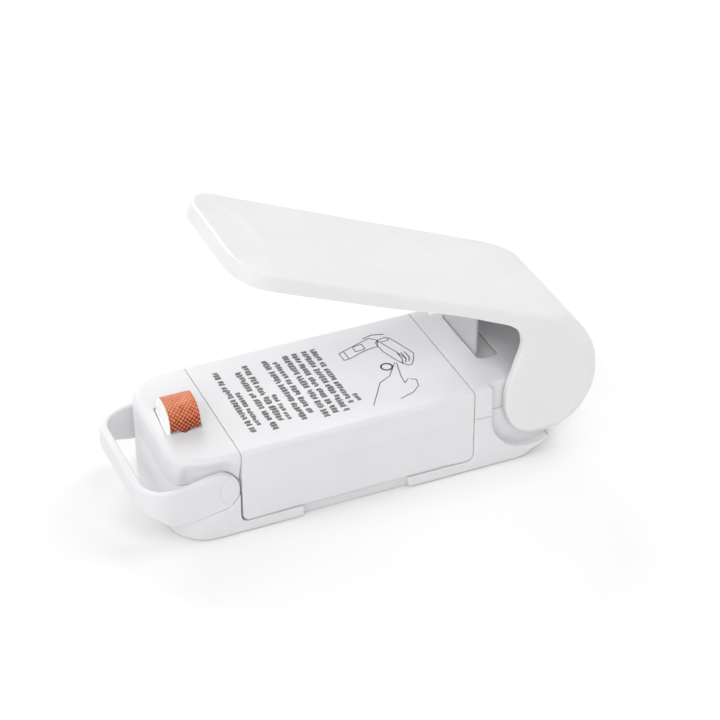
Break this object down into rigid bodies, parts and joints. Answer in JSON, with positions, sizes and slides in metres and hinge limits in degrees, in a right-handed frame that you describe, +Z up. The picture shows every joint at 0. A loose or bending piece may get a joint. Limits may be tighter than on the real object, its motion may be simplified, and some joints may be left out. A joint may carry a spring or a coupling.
{
  "type": "handheld bag heat sealer",
  "caption": "Pocket heat sealer for plastic bags: a sprung press arm hinged to a battery body with a domed heating head, a lift-off cover and a folding hanging loop.",
  "frame": {"origin": "on the surface the sealer stands on, under the middle of its length and width, with the arm open", "axes": "+X from the heating head and hanging loop to the arm's hinge, +Y across the body, +Z up"},
  "size_m": [0.1132, 0.0382, 0.0697],
  "materials": {
    "body_white": "fine satin moulded white plastic",
    "cover_white": "fine satin moulded white plastic with a printed panel of plain bars and a line drawing",
    "arm_white": "fine satin moulded white plastic",
    "liner_grey": "matt grey moulded plastic",
    "silicone": "matt silicone rubber",
    "heater_white": "matt heat resistant white moulding",
    "resistance_strip": "bright resistance strip",
    "glass_cloth": "woven coated glass cloth, orange brown, slightly glossy",
    "cell_jacket": "painted plain cell jacket",
    "contact_brass": "plain stamped brass",
    "steel": "bright drawn steel",
    "blade_dark": "matt grey moulded plastic",
    "lead_jacket": "plain wire insulation"
  },
  "bodies": {
    "body": {"base_shell": "body_white", "head_cover": "body_white", "rear_cover": "body_white", "bail_pin_near": "steel", "bail_pin_far": "steel", "heater_spring": "steel", "contact_plate_a": "contact_brass", "contact_plate_b": "contact_brass", "contact_bridge": "contact_brass", "contact_spring_a": "steel", "contact_spring_b": "steel", "hinge_pin": "steel", "torsion_spring": "steel", "switch_contact_fixed": "contact_brass", "switch_contact_leaf": "contact_brass", "lead_wire": "lead_jacket", "screw_front_near": "steel", "screw_front_far": "steel", "screw_rear_near": "steel", "screw_rear_far": "steel"},
    "arm": {"arm_shell": "arm_white", "arm_liner": "liner_grey", "pad_carrier": "liner_grey", "press_pad": "silicone"},
    "bail": {"bail_loop": "body_white"},
    "cover": {"battery_cover": "cover_white"},
    "heater": {"heater_block": "heater_white", "heater_ribbon": "resistance_strip", "ptfe_cloth": "glass_cloth"},
    "blade": {"switch_blade": "blade_dark"},
    "cell_near": {"cell_a": "cell_jacket"},
    "cell_far": {"cell_b": "cell_jacket"}
  },
  "joints": [
    {"name": "arm_hinge", "type": "hinge", "parent": "body", "child": "arm", "pos_m": [0.04138, 0, 0.015], "axis": [0, -1, 0], "range_deg": [0, 27.2], "stiffness_Nm_per_rad": 0.35, "springref_deg": -2.86},
    {"name": "bail_hinge", "type": "hinge", "parent": "body", "child": "bail", "pos_m": [-0.03882, 0, 0.0126], "axis": [0, 1, 0], "range_deg": [0, 20]},
    {"name": "cover_lift", "type": "slide", "parent": "body", "child": "cover", "axis": [0, 0, -1], "range_m": [-0.0185, 0]},
    {"name": "heater_float", "type": "slide", "parent": "body", "child": "heater", "axis": [0, 0, -1], "range_m": [0, 0.0012], "stiffness_N_per_m": 1500, "springref_m": -0.0005, "deforming": ["heater_spring"]},
    {"name": "blade_press", "type": "slide", "parent": "body", "child": "blade", "axis": [0, 0, -1], "range_m": [0, 0.00655]},
    {"name": "cell_near_spin", "type": "hinge", "parent": "body", "child": "cell_near", "pos_m": [-0.00562, -0.00735, 0.0092], "axis": [1, 0, 0], "continuous": true},
    {"name": "cell_far_spin", "type": "hinge", "parent": "body", "child": "cell_far", "pos_m": [-0.00562, 0.00735, 0.0092], "axis": [1, 0, 0], "continuous": true}
  ],
  "couplings": [
    {"joint": "blade_press", "follows": "arm_hinge", "m_per_rad": 0.01349}
  ]
}
